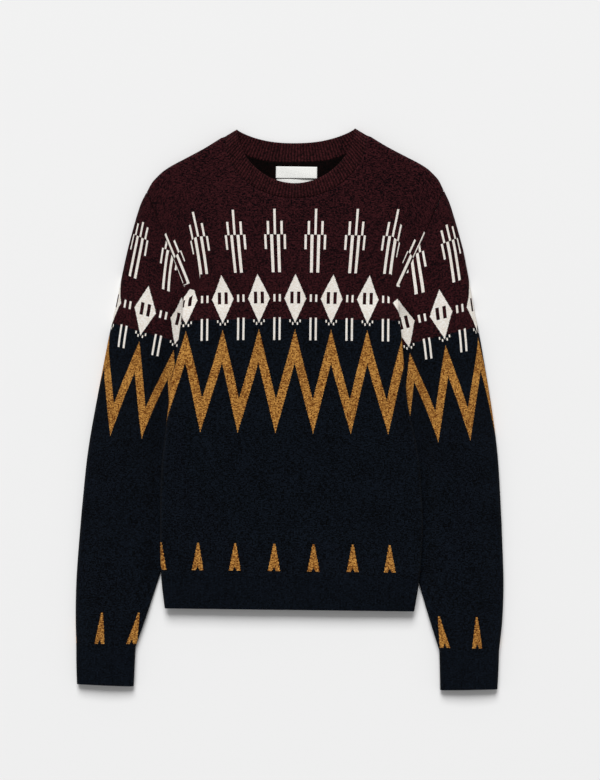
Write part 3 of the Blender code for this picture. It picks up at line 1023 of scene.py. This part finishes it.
def spun(tree, shade, yarn):
    """A yarn's colour where shade of it is the lighter fibre."""
    return mix(tree, shade, yarn.dark, yarn.light)


def marl(tree, x, y, strength=1.0):
    """How much of the lighter fibre shows: in flecks, along the yarn and in broad patches."""
    strand = blotch(tree, (x * 0.5).apply("FLOOR"), (y * 0.6).apply("FLOOR"), 1.0, cells=True)
    fleck = blotch(tree, x * 0.50, y * 0.62, 1.0, 3.0)
    streak = blotch(tree, x * 0.16, y * 0.80, 1.0, 2.0)
    broad = blotch(tree, x * 0.03, y * 0.03, 1.0, 2.0)
    shade = (strand - 0.5) * 0.7 + (fleck - 0.5) * 2.2 + (streak - 0.5) * 1.4
    shade = (shade + (broad - 0.5) * 0.4) * strength + 0.42
    return shade.apply("MINIMUM", 1.0).apply("MAXIMUM", 0.0)


def patterned(name, stick_tops, tree_rows):
    """Stranded knitting in the chart's four colours.

    stick_tops are the heights of the middle and side sticks; tree_rows is the foot and the
    height of the small trees above the ribbing.
    """
    material, shader = new_material(name, sheen=0.015)
    tree = material.node_tree
    repeats, up = knit_coords(tree)
    column, course, relief = stitches(repeats * REPEAT + 0.5, up * (1 / COURSE))
    centre = (column - 0.5) * (1 / REPEAT)
    stitch = abs(centre - centre.apply("ROUND")) * REPEAT
    cream, mustard, burgundy = bands(stitch, course * COURSE, stick_tops, tree_rows)
    shade = marl(tree, repeats * REPEAT, up)
    colour = mix(tree, burgundy, spun(tree, shade, NAVY), spun(tree, shade, BURGUNDY))
    colour = mix(tree, mustard, colour, spun(tree, shade, MUSTARD))
    colour = mix(tree, cream, colour, spun(tree, shade, CREAM))
    fuzz = blotch(tree, repeats * REPEAT, up, 3.0, 3.0)
    knit_surface(tree, shader, colour, relief + fuzz * 0.8, 0.0003)
    return material


def ribbed(name, yarn, period, high, depth):
    """Ribbing whose ribs run along the second coordinate.

    period is a rib in units of the first, high is a unit of the second in mm, and depth is
    how far the furrows sink and how much painted shade darkens them.
    """
    material, shader = new_material(name, sheen=0.015)
    tree = material.node_tree
    x, y = knit_coords(tree)
    ribs = x * (1 / period)
    relief = stitches(ribs * 4.0, y * (high / COURSE))[2]
    shade = marl(tree, ribs * 4.0, y * high, 0.6)
    wave = abs(ribs.apply("FRACT") - 0.5) * 4.0
    painted_furrow_shade = (wave * 0.5).apply("POWER", 2.5) * depth
    # Painted shade: the furrows between the ribs are mixed towards near-black
    colour = mix(tree, painted_furrow_shade, spun(tree, shade, yarn), (0.0012, 0.0010, 0.0012))
    fuzz = blotch(tree, ribs * 4.0, y * high, 3.0, 3.0)
    height = relief * 0.5 + fuzz * 0.6 - wave * (3.0 * depth)
    knit_surface(tree, shader, colour, height, 0.0004)
    return material


def plain_knit(name, yarn):
    """Knitting in one yarn, as the inside of the body shows; the yarn given to it is darkened
    as painted shade.
    """
    material, shader = new_material(name, sheen=0.015)
    tree = material.node_tree
    repeats, up = knit_coords(tree)
    across = repeats * REPEAT
    relief = stitches(across, up * (1 / COURSE))[2]
    colour = spun(tree, marl(tree, across, up), yarn)
    knit_surface(tree, shader, colour, relief, 0.0003)
    return material


def label_weave():
    """White woven tape."""
    material, shader = new_material("label_weave", sheen=0.0, roughness=0.55)
    tree = material.node_tree
    x, y = knit_coords(tree)
    weave = abs((y * 3.0 + x * 1.5).apply("FRACT") - 0.5) * 2.0
    grain = blotch(tree, x * 0.5, y * 8.0, 1.0, 3.0)
    colour = mix(tree, grain, (0.78, 0.78, 0.75), (0.90, 0.90, 0.87))
    knit_surface(tree, shader, colour, weave + grain * 0.5, 0.0001)
    return material


# ---------------------------------------------------------------- the jumper

for old in list(bpy.data.objects):
    bpy.data.objects.remove(old)

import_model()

floor_mesh = bpy.data.meshes.new("floor")
bm = bmesh.new()
bmesh.ops.create_grid(bm, x_segments=1, y_segments=1, size=4.0)
bm.to_mesh(floor_mesh)
bm.free()
floor = bpy.data.objects.new("floor", floor_mesh)
bpy.context.scene.collection.objects.link(floor)
floor.location.z = -0.0002
paper = bpy.data.materials.new("pale_paper")
paper.use_nodes = True
paper_shader = paper.node_tree.nodes["Principled BSDF"]
paper_shader.inputs["Base Color"].default_value = (0.82, 0.82, 0.82, 1.0)
paper_shader.inputs["Roughness"].default_value = 0.9
paper_shader.inputs["Specular IOR Level"].default_value = 0.1
floor_mesh.materials.append(paper)

body = patterned("body_knit", (283.6, 266.7), (-234.0, 39.5))
arm = patterned("sleeve_knit", (269.5, 265.5), (-341.5, 45.0))
hem = ribbed("hem_ribbing", NAVY, HEM_RIB, 1.0, 0.12)
neck = ribbed("neck_ribbing", RIBBING, 1.0, 20.0, 0.95)
white = label_weave()
# The back's upper face, seen through the neck, gets this material darkened with painted shade
inside = plain_knit("body_inside", INSIDE_PAINTED_SHADE)

front = sheet("front_panel", 2 * SIDE_COLUMNS, LOWER_ROWS + YOKE_ROWS, front_place, body)
back_rows = BACK_LOWER + BACK_UPPER
# The back's inside face takes the painted-shade material, and its underside the patterned
# knit
back = sheet("back_panel", 2 * BACK_COLUMNS, back_rows, back_place, inside, under=body)
hem_front = sheet("hem_front", 2 * SIDE_COLUMNS, HEM_ROWS, hem_front_place, hem)
hem_back = sheet("hem_back", 2 * BACK_HEM_HALF, BACK_HEM_ROWS, hem_back_place, hem)
neck_band = make_neck_rib(neck)
labels = [make_label(label, white) for label in LABELS]

for piece, node, slot in (
    (front, "front", "body_knit"),
    (back, "back", "body_knit"),
    (hem_front, "hem_rib_front", "hem_rib"),
    (hem_back, "hem_rib_back", "hem_rib"),
    (neck_band, "neck_rib", "neck_rib"),
    (labels[0], "label_main", "label"),
    (labels[1], "label_care", "label"),
):
    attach(piece, "root")
    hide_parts(node)

for side, word in ((1, "left"), (-1, "right")):
    sleeve = make_sleeve("sleeve_knit_" + word, side, arm)
    cuff = make_cuff("cuff_knit_" + word, side, hem)
    tuck = make_side_tuck("tucked_layers_" + word, side, hem)
    for piece, node, slot in (
        (sleeve, "sleeve_" + word, "sleeve_knit"),
        (cuff, "cuff_" + word, "cuff_rib"),
        (tuck, "side_tuck_" + word, "body_knit"),
    ):
        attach(piece, "root")
        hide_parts(node)

# ---------------------------------------------------------------- studio

world = bpy.data.worlds.new("soft_room")
bpy.context.scene.world = world
world.use_nodes = True
world.node_tree.nodes["Background"].inputs["Color"].default_value = (1.0, 1.0, 1.0, 1.0)
world.node_tree.nodes["Background"].inputs["Strength"].default_value = 0.36


def soft_light(name, place, target, size, power):
    lamp = bpy.data.lights.new(name, "AREA")
    lamp.shape = "SQUARE"
    lamp.size = size
    lamp.energy = power
    obj = bpy.data.objects.new(name, lamp)
    bpy.context.scene.collection.objects.link(obj)
    obj.location = place
    obj.rotation_euler = (target - obj.location).to_track_quat("-Z", "Y").to_euler()


soft_light("key", Vector((-5.7, 45.0, 40.5)), Vector((0, 0, 0)), 34.0, 42500.0)

lens = bpy.data.cameras.new("camera")
lens.lens = 85.0
lens.sensor_width = 36.0
camera = bpy.data.objects.new("camera", lens)
bpy.context.scene.collection.objects.link(camera)
camera.location = (0.0103, 0.0258, 2.65)
camera.rotation_euler = (0.0, 0.0, math.radians(0.7))
bpy.context.scene.camera = camera
bpy.context.scene.view_settings.view_transform = "Standard"
